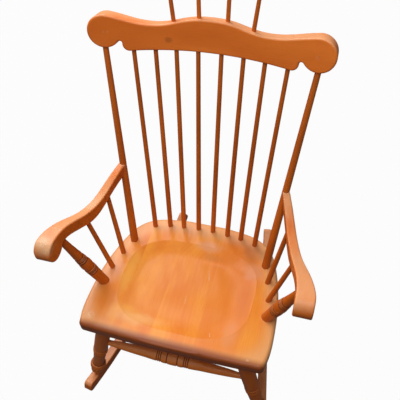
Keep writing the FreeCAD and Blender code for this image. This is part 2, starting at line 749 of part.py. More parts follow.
def arm_side_wire():
    """Outline of the arm in side view, in the seat's frame."""
    length = size("arm_length")
    base = size("arm_seat_height")
    rise = size("arm_rise")
    knuckle = 0.5 * rise

    def spot(share, up):
        return FreeCAD.Vector(0, ARM_START.y - share * length, base + rise * up)

    def on_knuckle(angle):
        centre = spot(1.0, 0.5) + FreeCAD.Vector(0, knuckle, 0)
        return centre + FreeCAD.Vector(0, -math.sin(angle), math.cos(angle)) * knuckle

    top_points = [spot(*pair) for pair in ARM_TOP_SHARES] + [on_knuckle(0.0)]
    top = Part.BSplineCurve()
    top.interpolate(
        Points=top_points, InitialTangent=(top_points[1] - top_points[0]).normalize(),
        FinalTangent=-Y_AXIS)
    roll = Part.Arc(on_knuckle(0.0), on_knuckle(0.5 * KNUCKLE_TURN), on_knuckle(KNUCKLE_TURN))
    middle = spot(1.0, 0.5) + FreeCAD.Vector(0, knuckle, 0)
    outward = (on_knuckle(KNUCKLE_TURN) - middle).normalize()
    dip = middle + outward * (1 + ARM_NOTCH_SHARE) * knuckle
    over = [dip + way.normalize() * ARM_NOTCH_SHARE * knuckle for way in (Z_AXIS - outward, +Z_AXIS)]
    notch = Part.Arc(on_knuckle(KNUCKLE_TURN), over[0], over[1])
    under_points = [over[1]] + [spot(*pair) for pair in ARM_UNDER_SHARES]
    under = Part.BSplineCurve()
    under.interpolate(
        Points=under_points, InitialTangent=Y_AXIS,
        FinalTangent=(under_points[-1] - under_points[-2]).normalize())
    back = Part.LineSegment(under_points[-1], top_points[0])
    edges = [c.toShape() for c in (top, roll, notch, under, back)]
    return Part.Wire(Part.__sortEdges__(edges))


def arm_plan_wire():
    """Outline of the arm seen from above, in the seat's frame."""
    inner = []
    outer = []
    for share, _ in ARM_WIDTH_SHARES:
        across = size("arm_back_x") + size("arm_splay") * between(ARM_INNER_SHARES, share)
        y = ARM_START.y - share * size("arm_length")
        width = size("arm_hand_width") * between(ARM_WIDTH_SHARES, share)
        inner.append(FreeCAD.Vector(across, y, 0))
        outer.append(FreeCAD.Vector(across + width, y, 0))
    edges = [Part.LineSegment(inner[0], outer[0]).toShape()]
    front_y = ARM_START.y - ARM_FRONT_SHARE * size("arm_length")
    corner = inner[-1].y - front_y
    fronts = []
    for points, way in ((inner, X_AXIS), (outer, -X_AXIS)):
        curve = Part.BSplineCurve()
        curve.interpolate(
            Points=points, InitialTangent=(points[1] - points[0]).normalize(),
            FinalTangent=-Y_AXIS)
        edges.append(curve.toShape())
        centre = points[-1] + way * corner
        halfway = centre - (way + Y_AXIS).normalize() * corner
        fronts.append(centre - Y_AXIS * corner)
        edges.append(Part.Arc(points[-1], halfway, fronts[-1]).toShape())
    edges.append(Part.LineSegment(fronts[0], fronts[1]).toShape())
    return Part.Wire(Part.__sortEdges__(edges))


def make_arm():
    """Right arm, coped to its back post."""
    solids = []
    for name, wire, way in (("side", arm_side_wire(), X_AXIS), ("plan", arm_plan_wire(), Z_AXIS)):
        outline = doc.addObject("Part::Feature", "arm_" + name)
        outline.Shape = wire
        sawn = doc.addObject("Part::Extrusion", "arm_sawn_" + name)
        sawn.Base = outline
        sawn.DirMode = "Custom"
        sawn.Dir = way
        sawn.setExpression("LengthFwd", "Sizes.arm_back_x * 2")
        sawn.Solid = True
        solids.append(sawn)
    common = doc.addObject("Part::Common", "arm_shape")
    common.Base = solids[0]
    common.Tool = solids[1]
    work_out(common)
    back = ARM_START.y - (1 - NEARLY) * size("arm_length")
    rims = []
    for number, edge in enumerate(common.Shape.Edges, start=1):
        at_back = min(vertex.Y for vertex in edge.Vertexes) > back
        halfway = 0.5 * (edge.FirstParameter + edge.LastParameter)
        straight = edge.Curve.TypeId == "Part::GeomLine"
        if not at_back and not straight and edge.valueAt(halfway).y < back:
            rims.append((number, size("arm_round"), size("arm_round")))
    rounded = doc.addObject("Part::Fillet", "arm_rounded")
    rounded.Base = common
    rounded.Edges = rims
    rounded.Placement = SEAT
    foot, top = post_line(RIGHT)
    way = (top - foot).normalize()
    post = doc.addObject("Part::Cone", "arm_cope")
    post.setExpression("Radius1", "Sizes.post_foot * 0.5 + Sizes.fit")
    post.setExpression("Radius2", "Sizes.post_top * 0.5 + Sizes.fit")
    post.setExpression("Height", "Sizes.back_post_right_span - Sizes.shoulder * 2")
    post.Placement = along_line(foot + way * size("shoulder"), top)
    coped = doc.addObject("Part::Cut", "arm_coped")
    coped.Base = rounded
    coped.Tool = post
    return coped


# The rockers, in their own upright frame: x across, y to the back

ROCKER_CORNER_SHARE = 0.34


def rocker_top(station):
    """A point on the upper curve of a rocker."""
    inner = size("rocker_radius") - size("rocker_depth")
    return FreeCAD.Vector(0, station, size("rocker_radius") - math.sqrt(inner ** 2 - station ** 2))


def rocker_outline():
    """Closed side view of a rocker: two concentric curves with rounded ends."""
    outer = size("rocker_radius")
    inner = outer - size("rocker_depth")
    corner = ROCKER_CORNER_SHARE * size("rocker_depth")
    middle = FreeCAD.Vector(0, 0, outer)

    def about(centre, reach, angle):
        return centre + FreeCAD.Vector(0, math.sin(angle), -math.cos(angle)) * reach

    def curve(centre, reach, start, end):
        spots = [about(centre, reach, angle) for angle in (start, 0.5 * (start + end), end)]
        return Part.Arc(*spots).toShape()

    edges = []
    low_ends = []
    high_ends = []
    for name, sign in (("rocker_nose", -1), ("rocker_tail", 1)):
        end = sign * math.asin(size(name) / outer)
        low = end - sign * math.asin(corner / (outer - corner))
        high = end - sign * math.asin(corner / (inner + corner))
        low_corner = about(middle, outer - corner, low)
        high_corner = about(middle, inner + corner, high)
        square = end + sign * 0.5 * math.pi
        edges.append(curve(low_corner, corner, low, square))
        edges.append(curve(high_corner, corner, square, high + sign * math.pi))
        edges.append(Part.LineSegment(
            about(low_corner, corner, square), about(high_corner, corner, square)).toShape())
        low_ends.append(low)
        high_ends.append(high)
    edges.append(curve(middle, outer, *low_ends))
    edges.append(curve(middle, inner, *high_ends))
    return Part.Wire(Part.__sortEdges__(edges))


def make_rocker_blank(word):
    """A rocker sawn to its curve, with its long edges rounded."""
    name = "rocker_" + word
    outline = doc.addObject("Part::Feature", name + "_outline")
    outline.Shape = rocker_outline()
    board = doc.addObject("Part::Extrusion", name + "_board")
    board.Base = outline
    board.DirMode = "Custom"
    board.Dir = X_AXIS
    board.setExpression("LengthFwd", "Sizes.rocker_width * 0.5")
    board.setExpression("LengthRev", "Sizes.rocker_width * 0.5")
    board.Solid = True
    work_out(board)
    half = 0.5 * size("rocker_width")
    rims = []
    for number, edge in enumerate(board.Shape.Edges, start=1):
        across = [abs(vertex.X) for vertex in edge.Vertexes]
        same_side = edge.Vertexes[0].X * edge.Vertexes[-1].X > 0
        if min(across) > NEARLY * half and same_side and edge.Length < 2 * size("rocker_radius"):
            rims.append((number, size("rocker_round"), size("rocker_round")))
    rounded = doc.addObject("Part::Fillet", name + "_rounded")
    rounded.Base = board
    rounded.Edges = rims
    rounded.Placement = rocker_frame(SIDES[word])
    return rounded


# The undercarriage

LEG_SHARES = [
    (0.130, 0.900, None), (0.440, 0.895, (0.285, 0.925)),
    (0.446, 0.840, None), (0.454, 0.905, None), (0.482, 0.905, (0.468, 0.945)),
    (0.488, 0.845, None), (0.496, 0.900, None), (0.522, 0.895, (0.509, 0.935)),
    (0.528, 0.830, None), (0.550, 0.850, None), (0.700, 0.745, (0.630, 0.785)),
    (0.760, 0.750, (0.730, 0.735)), (0.767, 0.900, None), (0.855, 0.880, (0.810, 1.030)),
    (0.862, 0.790, None), (0.945, 0.700, (0.903, 0.870)), (0.962, 0.560, None),
]


LEG_WAY = {"front": -1, "rear": 1}


def leg_line(side, which):
    """Point under the plank and point on the rocker for a leg."""
    top = foot_in_plank(side, LEG_HEAD_SHARES[which], size("seat_thickness"))
    station = size(which + "_leg_station") * LEG_WAY[which]
    foot = rocker_frame(side).multVec(rocker_top(station))
    return top, foot


def leg_spot(side, which, share):
    """A point on the axis of a leg, at a share of the way down."""
    top, foot = leg_line(side, which)
    return top + (foot - top) * share


def leg_radius(share):
    head = (0.0, size("leg_head") / size("leg_bulge"))
    stations = [head] + [(along, radius) for along, radius, _ in LEG_SHARES]
    return 0.5 * size("leg_bulge") * between(stations, share)


def scaled(shares, width):
    """Stations with radii in shares of a named width."""
    half = 0.5
    stations = []
    for along, radius, bow in shares:
        bent = (bow[0], [(width, half * bow[1])]) if bow else None
        stations.append((along, [(width, half * radius)], bent))
    return stations


def make_legs():
    blanks = {}
    for which in ("front", "rear"):
        for word, side in SIDES.items():
            piece = f"{which}_leg_{word}"
            top, foot = leg_line(side, which)
            body, way = turned_between(piece, top, foot, "leg_head", "leg_foot",
                                       "leg_tenon", "rocker_tenon",
                                       scaled(LEG_SHARES, "leg_bulge"))
            seat_both_ends(("seat", "rocker_" + word), top, foot, way, "leg_head",
                           "leg_foot", "leg_tenon", "rocker_tenon")
            blanks[piece] = body
    return blanks


STRETCHER_SHARES = [
    (0.300, 0.810, (0.170, 0.690)), (0.378, 0.920, (0.340, 0.880)),
    (0.384, 0.840, None), (0.393, 0.930, None), (0.399, 0.850, None), (0.408, 0.940, None),
    (0.414, 0.860, None), (0.423, 0.955, None),
    (0.456, 0.975, (0.440, 0.985)), (0.462, 0.880, None), (0.472, 0.990, (0.467, 0.985)),
    (0.528, 0.990, (0.500, 1.010)), (0.538, 0.880, None), (0.544, 0.975, None),
    (0.577, 0.955, (0.560, 0.985)), (0.586, 0.860, None), (0.592, 0.940, None),
    (0.601, 0.850, None), (0.607, 0.930, None), (0.616, 0.840, None), (0.622, 0.920, None),
    (0.700, 0.810, (0.660, 0.880)), (0.930, 0.560, (0.830, 0.690)),
]
PLAIN_SHARES = [(0.500, 1.0, (0.260, 0.870)), (0.940, 0.680, (0.740, 0.870))]
CROSS_SHARE = 0.330
SIDE_SHARE = 0.415


def make_stretchers():
    blanks = {}
    runs = [
        ("front_stretcher", (LEFT, "front"), (RIGHT, "front"), CROSS_SHARE,
         scaled(STRETCHER_SHARES, "stretcher_bulge")),
        ("rear_stretcher", (LEFT, "rear"), (RIGHT, "rear"), CROSS_SHARE,
         scaled(PLAIN_SHARES, "plain_bulge")),
        ("side_stretcher_left", (LEFT, "front"), (LEFT, "rear"), SIDE_SHARE,
         scaled(PLAIN_SHARES, "plain_bulge")),
        ("side_stretcher_right", (RIGHT, "front"), (RIGHT, "rear"), SIDE_SHARE,
         scaled(PLAIN_SHARES, "plain_bulge")),
    ]
    words = {LEFT: "left", RIGHT: "right"}
    for piece, near, far, share, stations in runs:
        start = leg_spot(*near, share)
        end = leg_spot(*far, share)
        way = (end - start).normalize()
        start = start + way * leg_radius(share)
        end = end - way * leg_radius(share)
        body, way = turned_between(piece, start, end, "stretcher_dowel", "stretcher_dowel",
                                   "stretcher_tenon", "stretcher_tenon", stations)
        carriers = [f"{which}_leg_{words[side]}" for side, which in (near, far)]
        seat_both_ends(carriers, start, end, way, "stretcher_dowel", "stretcher_dowel",
                       "stretcher_tenon", "stretcher_tenon")
        blanks[piece] = body
    return blanks


# The pieces under the arms

ARM_POST_SHARES = [
    (0.130, 0.880, None), (0.262, 0.940, (0.200, 0.920)),
    (0.270, 0.840, None), (0.290, 0.940, (0.280, 0.965)), (0.298, 0.850, None),
    (0.318, 0.960, (0.308, 0.980)), (0.326, 0.870, None),
    (0.346, 0.960, (0.336, 0.990)), (0.354, 0.880, None),
    (0.500, 0.880, (0.415, 1.000)),
    (0.508, 0.790, None), (0.526, 0.880, (0.517, 0.905)), (0.534, 0.780, None),
    (0.552, 0.860, (0.543, 0.885)), (0.560, 0.760, None),
    (0.578, 0.830, (0.569, 0.855)), (0.586, 0.740, None),
    (0.640, 0.770, (0.610, 0.785)), (0.940, 0.600, (0.790, 0.650)),
]


def arm_socket(side, share):
    """Point on the underside of an arm, in the middle of its width."""
    under = [(s, up) for s, up in reversed(ARM_UNDER_SHARES)]
    z = size("arm_seat_height") + size("arm_rise") * between(under, share)
    y = ARM_START.y - share * size("arm_length")
    x = size("arm_back_x") + size("arm_splay") * between(ARM_INNER_SHARES, share)
    x += 0.5 * size("arm_hand_width") * between(ARM_WIDTH_SHARES, share)
    return on_seat(side * x, y, z)


def make_arm_supports():
    blanks = {}
    for word, side in SIDES.items():
        names = ("rear", "front")
        for name, foot_shares, share in zip(names, ARM_SPINDLE_FOOT_SHARES, ARM_SPINDLE_TOP_SHARES):
            piece = f"arm_spindle_{name}_{word}"
            foot = foot_in_plank(side, foot_shares)
            top = arm_socket(side, share)
            body, way = turned_between(piece, foot, top, "arm_spindle_foot",
                                       "arm_spindle_top", "plank_tenon", "arm_tenon", [])
            seat_both_ends(("seat", "arm_" + word), foot, top, way, "arm_spindle_foot",
                           "arm_spindle_top", "plank_tenon", "arm_tenon")
            blanks[piece] = body
        piece = "arm_post_" + word
        foot = foot_in_plank(side, ARM_POST_FOOT_SHARES)
        top = arm_socket(side, ARM_POST_TOP_SHARE)
        body, way = turned_between(piece, foot, top, "arm_post_foot", "arm_post_neck",
                                   "plank_tenon", "arm_tenon",
                                   scaled(ARM_POST_SHARES, "arm_post_bulge"))
        seat_both_ends(("seat", "arm_" + word), foot, top, way, "arm_post_foot",
                       "arm_post_neck", "plank_tenon", "arm_tenon")
        blanks[piece] = body
    return blanks


# Pins and screws

PIN_SHARE = 1.1
SCREW_SUNK_SHARE = 0.25


def make_pins():
    """A pin through each scroll of the crest rail into its post."""
    pins = []
    for word, side in SIDES.items():
        x = side * size("crest_half_length")
        up = size("crest_scroll_height")
        face = CREST.multVec(FreeCAD.Vector(x, -face_fall("crest_bend", x), up))
        axis = CREST.multVec(FreeCAD.Vector(0, -size("crest_bend"), up))
        outward = (axis - face).normalize()
        pin = rod("crest_pin_" + word, [("pin", 0.5)], [("crest_thickness", PIN_SHARE)])
        pin.Placement = along_line(face - outward * (PIN_SHARE * size("crest_thickness")), face)
        pins.append(pin)
        for carrier in ("crest_rail", "back_post_" + word):
            bore(carrier, face, outward * -1, [("pin", 0.5), FIT],
                 [("crest_thickness", PIN_SHARE), GLUE], OPEN)
    return pins


def screw(name, head_at, inward):
    """A flat-headed screw: a head and a shank on one axis."""
    head = rod(name + "_head", [("screw_head", 0.5)], [("screw_head_height", 1.0)])
    head.Placement = along_line(head_at, head_at + inward)
    shank = rod(name + "_shank", [("screw_shank", 0.5)], [("screw_reach", 1.0)])
    shank.Placement = along_line(head_at, head_at + inward)
    whole = doc.addObject("Part::Fuse", name)
    whole.Base = head
    whole.Tool = shank
    return whole


def screw_holes(carriers, head_at, inward):
    """A sunk hole for the head in the first piece and the shank in both."""
    bore(carriers[0], head_at + inward * size("screw_head_height"), inward * 1,
         [("screw_head", 0.5), FIT], [FIT], [("screw_head_height", 1.0), ("overrun", 0.5)])
    for carrier in carriers:
        bore(carrier, head_at, inward * 1, [("screw_shank", 0.5), FIT],
             [("screw_reach", 1.0), GLUE], [FIT])


def make_arm_screws():
    """A screw from behind each back post into the end of its arm."""
    screws = []
    for word, side in SIDES.items():
        start = SEAT.multVec(FreeCAD.Vector(side * ARM_START.x, ARM_START.y, ARM_START.z))
        share = ARM_SCREW_SHARE
        inner = size("arm_back_x") + size("arm_splay") * between(ARM_INNER_SHARES, share)
        x = inner + 0.5 * size("arm_hand_width") * between(ARM_WIDTH_SHARES, share)
        ahead = on_seat(side * x, ARM_START.y - share * size("arm_length"), ARM_START.z)
        inward = (ahead - start).normalize()
        low = (1 - ARM_POST_SHARE) * size("post_foot")
        post_width = low + ARM_POST_SHARE * size("post_top")
        head_at = start - inward * (0.5 * post_width)
        screws.append(screw("arm_screw_" + word, head_at, inward))
        screw_holes(("back_post_" + word, "arm_" + word), head_at, inward)
    return screws


def make_rocker_screws():
    """A screw from under each rocker into the foot of each leg."""
    screws = []
    for which in ("front", "rear"):
        for word, side in SIDES.items():
            top, foot = leg_line(side, which)
            inward = (top - foot).normalize()
            head_at = foot - inward * (size("rocker_tenon") + SCREW_SUNK_SHARE * size("rocker_depth"))
            name = f"rocker_screw_{which}_{word}"
            screws.append(screw(name, head_at, inward))
            screw_holes(("rocker_" + word, f"{which}_leg_{word}"), head_at, inward)
    return screws


def group(piece, solids):
    """Several like solids in one named piece."""
    together = doc.addObject("Part::Compound", piece + "_group")
    together.Links = solids
    together.Label = piece
    finished.append(together)


# The whole chair

blanks = {}
blanks.update(make_back())
blanks.update(make_head())
blanks.update(make_arm_supports())
blanks.update(make_legs())
blanks.update(make_stretchers())
blanks["seat"] = make_plank()
blanks["crest_rail"] = bent_rail("crest", 0.0, 0.0)
blanks["head_rail"] = bent_rail("head", HEAD_BASE, size("head_offset"))
for word in SIDES:
    blanks["rocker_" + word] = make_rocker_blank(word)
right_arm = make_arm()
left_arm = doc.addObject("Part::Mirroring", "arm_mirrored")
left_arm.Source = right_arm
left_arm.Base = FreeCAD.Vector(0, 0, 0)
left_arm.Normal = X_AXIS
blanks["arm_right"] = right_arm
blanks["arm_left"] = left_arm
pins = make_pins()
arm_screws = make_arm_screws()
rocker_screws = make_rocker_screws()
for piece, blank in blanks.items():
    finish(piece, blank)
group("crest_pins", pins)
group("arm_screws", arm_screws)
group("rocker_screws", rocker_screws)
doc.recompute()


# Checks, then one file for each piece

def faults():
    """Names every object that failed and every piece without a sound shape."""
    found = [f"{o.Name}: {o.State}" for o in doc.Objects
             if "Invalid" in o.State or "Error" in o.State]
    for piece in finished:
        if piece.Shape.isNull() or not piece.Shape.isValid():
            found.append(piece.Label + ": no sound shape")
    return found


problems = faults()
if problems:
    raise RuntimeError("the model has faults: " + "; ".join(problems))
os.makedirs("parts", exist_ok=True)
for piece in finished:
    piece.Shape.exportStep(f"parts/{piece.Label}.step")
    print(piece.Label, len(piece.Shape.Solids), round(piece.Shape.Volume / 1000, 1))
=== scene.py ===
import math

import bmesh
import bpy
import numpy as np
from bpy.props import FloatProperty, FloatVectorProperty, PointerProperty
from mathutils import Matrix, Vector

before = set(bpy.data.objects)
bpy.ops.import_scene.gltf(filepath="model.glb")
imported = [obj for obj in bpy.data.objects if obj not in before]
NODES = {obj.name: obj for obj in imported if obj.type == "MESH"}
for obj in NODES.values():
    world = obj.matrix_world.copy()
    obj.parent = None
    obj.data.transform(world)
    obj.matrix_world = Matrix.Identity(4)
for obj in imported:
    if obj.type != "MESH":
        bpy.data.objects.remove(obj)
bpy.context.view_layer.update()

bl_info = {
    "name": "Spindle back rocking chair",
    "version": (1, 0, 0),
    "blender": (4, 5, 0),
    "location": "3D View > Sidebar > Chair",
    "description": "Dresses a rocking chair in stained, lacquered wood",
    "category": "Object",
}


# What a user would change

def colour(name, default, note):
    return FloatVectorProperty(
        name=name, description=note, default=default, subtype="COLOR", size=3, min=0.0, max=1.0)


def length(name, default, note):
    return FloatProperty(
        name=name, description=note, default=default, min=0.0, subtype="DISTANCE", unit="LENGTH")


def power(name, default, note):
    return FloatProperty(name=name, description=note, default=default, min=0.0, unit="POWER")


class ChairFinish(bpy.types.PropertyGroup):
    """Stain, lacquer, grain and wear of the wood"""

    seat_pale: colour("Seat, pale", (0.94, 0.340, 0.024), "Paler fibres of the seat")
    seat_deep: colour("Seat, deep", (0.78, 0.180, 0.006), "Deeper fibres of the seat")
    rail_pale: colour("Rails, pale", (0.93, 0.240, 0.032), "Paler fibres of the rails and arms")
    rail_deep: colour("Rails, deep", (0.75, 0.162, 0.017), "Deeper fibres of the rails and arms")
    turned_pale: colour("Turnings, pale", (0.72, 0.165, 0.014), "Paler fibres of the turnings")
    turned_deep: colour("Turnings, deep", (0.48, 0.098, 0.008), "Deeper fibres of the turnings")
    # Dark tint for the grooves: staining gathered there, and painted shade where the piece hems
    # them in
    groove: colour("Grooves", (0.10, 0.018, 0.004), "Stain that has gathered in the grooves")
    # Pale tint for what faces up: painted sheen, with some dust dulling the lacquer
    sheen_and_bloom: colour("Haze", (0.78, 0.45, 0.235), "Dull bloom on lacquer that faces up")
    bare: colour("Bare wood", (0.88, 0.66, 0.44), "Wood that shows where the lacquer is gone")
    steel: colour("Steel", (0.55, 0.54, 0.52), "Screws")
    fibre_width: length("Fibre width", 0.0013, "Width of one fibre of the grain")
    fibre_length: length("Fibre length", 0.045, "Length of one fibre of the grain")
    ring_pitch: length("Ring pitch", 0.0055, "From one growth ring to the next")


class ChairStage(bpy.types.PropertyGroup):
    """Floor, lamps and sky"""

    floor: colour("Floor", (0.13, 0.125, 0.12), "Plain floor, which the camera sees glowing pale")
    window_power: power("Window", 122.0, "Strength of the large lamp behind, to the left")
    fill_power: power("Fill", 17.0, "Strength of the soft lamp above the front")
    sky: FloatProperty(name="Sky", description="Strength of the even light all round",
                       default=0.20, min=0.0, max=4.0)


# Shader maths

class Sock:
    """A value, colour or vector in a material, with arithmetic on values."""

    def __init__(self, tree, link):
        self.tree = tree
        self.link = link

    def value_of(self, operation, *inputs, **settings):
        return node(self.tree, "ShaderNodeMath", inputs, operation=operation, **settings)

    def __add__(self, other):
        return self.value_of("ADD", self, other)

    __radd__ = __add__

    def __sub__(self, other):
        return self.value_of("SUBTRACT", self, other)

    def __rsub__(self, other):
        return self.value_of("SUBTRACT", other, self)

    def __mul__(self, other):
        return self.value_of("MULTIPLY", self, other)

    __rmul__ = __mul__

    def __truediv__(self, other):
        return self.value_of("DIVIDE", self, other)

    def __rtruediv__(self, other):
        return self.value_of("DIVIDE", other, self)

    def __pow__(self, other):
        return self.value_of("POWER", self, other)

    def __rpow__(self, other):
        return self.value_of("POWER", other, self)

    def __abs__(self):
        return self.value_of("ABSOLUTE", self)

    def clamp(self):
        return self.value_of("ADD", self, 0.0, use_clamp=True)

    def step(self, low, high):
        """0 below low, 1 above high, smooth between them."""
        return node(self.tree, "ShaderNodeMapRange",
                    {"Value": self, "From Min": low, "From Max": high},
                    interpolation_type="SMOOTHSTEP")


def node(tree, kind, inputs=(), out=0, **settings):
    """Adds a node: its settings first, then its sockets by name or by place."""
    made = tree.nodes.new(kind)
    for key, value in settings.items():
        setattr(made, key, value)
    pairs = inputs.items() if isinstance(inputs, dict) else enumerate(inputs)
    for key, value in pairs:
        if isinstance(value, Sock):
            tree.links.new(value.link, made.inputs[key])
        else:
            made.inputs[key].default_value = value
    return Sock(tree, made.outputs[out]) if made.outputs else None


def vector_math(tree, operation, *inputs, out="Vector"):
    return node(tree, "ShaderNodeVectorMath", inputs, out=out, operation=operation)


def mix(tree, share, first, second):
    """A colour between two colours, each a socket or three numbers. A Mix node
    has its colours at inputs 6 and 7 and at output 2."""
    first, second = (end if isinstance(end, Sock) else (*end, 1.0) for end in (first, second))
    return node(tree, "ShaderNodeMix", {0: share, 6: first, 7: second}, out=2, data_type="RGBA")


def noise(tree, vector, scale, octaves, roughness):
    return node(tree, "ShaderNodeTexNoise",
                {"Vector": vector, "Scale": scale, "Detail": octaves, "Roughness": roughness})


def object_place(tree):
    return node(tree, "ShaderNodeTexCoord", out="Object")


def centred(tree, place, centre, turn, stretch=(1, 1, 1)):
    """A place measured from a centre along turned axes, in stretched units."""
    return node(tree, "ShaderNodeMapping",
                {"Vector": place, "Location": centre, "Rotation": turn, "Scale": stretch},
                vector_type="TEXTURE")


def turn_to(way):
    """Turn that lays Z along a direction."""
    return Vector((0, 0, 1)).rotation_difference(Vector(way)).to_euler()


def new_material(name):
    made = bpy.data.materials.new(name)
    made.use_nodes = True
    made.node_tree.nodes.clear()
    return made, made.node_tree


def finish_material(tree, tint, roughness, relief, strength, depth, constants):
    """The shader itself. What is the same all over goes on its own sockets."""
    normal = node(tree, "ShaderNodeBump",
                  {"Strength": strength, "Distance": depth, "Height": relief})
    shader = node(tree, "ShaderNodeBsdfPrincipled",
                  {"Base Color": tint, "Roughness": roughness, "Normal": normal, **constants})
    node(tree, "ShaderNodeOutputMaterial", (shader,))


def put_on(material, piece):
    piece.data.materials.clear()
    piece.data.materials.append(material)


# Wood. A noise has its scale, its octaves and its roughness. A step has the
# values at which a mask starts and at which it is full. A share says how much
# of a tint or a tone goes on, and a rough what it adds to the roughness.

ACROSS = (1, 0, 0)
FRONT_TO_BACK = (0, 1, 0)
NOISE_MIDDLE = 0.5
FIBRE_DETAIL = (3.0, 0.6)
FIBRE_SHARE = 0.36
FIBRE_ROUGH = 0.08
RING_SCALE = 2 * math.pi / 20  # from ring to ring in a Wave texture of scale 1
RING_STRETCH = 30.0
RING_WAVER = {"Distortion": 5.0, "Detail": 2.0, "Detail Scale": 0.6}
RING_SHARE = 0.035
CLOUD_NOISE = (14.0, 3.0, 0.5)
CLOUD_STRETCH = 3.0
CLOUD_SHARE = 0.70
TONE_STEP = (0.34, 0.80)
PORE_STEP = (0.60, 0.72)
PORE_SHARE = 0.22
PORE_SHADE = 0.5
SMUDGE_NOISE = (38.0, 3.0, 0.6)
SMUDGE_ROUGH = 0.22
PITH = (0.35, 0.35, 0.0)
SEED_SHIFT = (-0.037, 0.043, 0.131)

# Painted sheen with some dusty dulling on what faces up, dark grooves with painted shade, and
# rubbed edges
HIDE_SAMPLES = 8
SHEEN_BLOOM_STEP = (0.2, 0.6)
SHEEN_BLOOM_ROUGH = 0.10
GROOVE_STEP = (0.06, 0.40)
GROOVE_SHARE = 0.9
GROOVE_ROUGH = 0.12
EDGE_STEP = (0.22, 0.62)
EDGE_ROUGH = 0.08
BROKEN_NOISE = (60.0, 4.0, 0.65)
BROKEN_STEP = (0.34, 0.62)

# Specks, patches, scratches and dark lines
GRIT_NOISE = (480.0, 4.0, 0.75)
GRIT_STEP = (0.50, 0.60)
GRIT_ROUGH = 0.2
FRAY_NOISE = (22.0, 3.0, 0.6)
FRAY_REACH = 1.4
PATCH_STEP = (0.2, 1.3)
PATCH_ROUGH = 0.06
SCRATCH_NOISE = (260.0, 3.0, 0.6)
SCRATCH_STEP = (0.40, 0.56)
SCRATCH_SHARE = 0.6
SCRATCH_ROUGH = 0.15
SOLID_CORE = 0.3  # part of a mark's radius in which it is full
RING_LINE_STEP = (0.0005, 0.0019)
RING_LINE_SHARE = 0.85

# Roughness of unworn lacquer, the relief of the fibres under it, and its shine
TURNED_ROUGH = 0.38
SAWN_ROUGH = 0.36
GRAIN_RELIEF = 0.16
GRAIN_DEPTH = 0.0003
LACQUER = {
    "Coat Weight": 0.20, "Coat Roughness": 0.15, "Coat IOR": 1.5, "Specular IOR Level": 0.16,
}


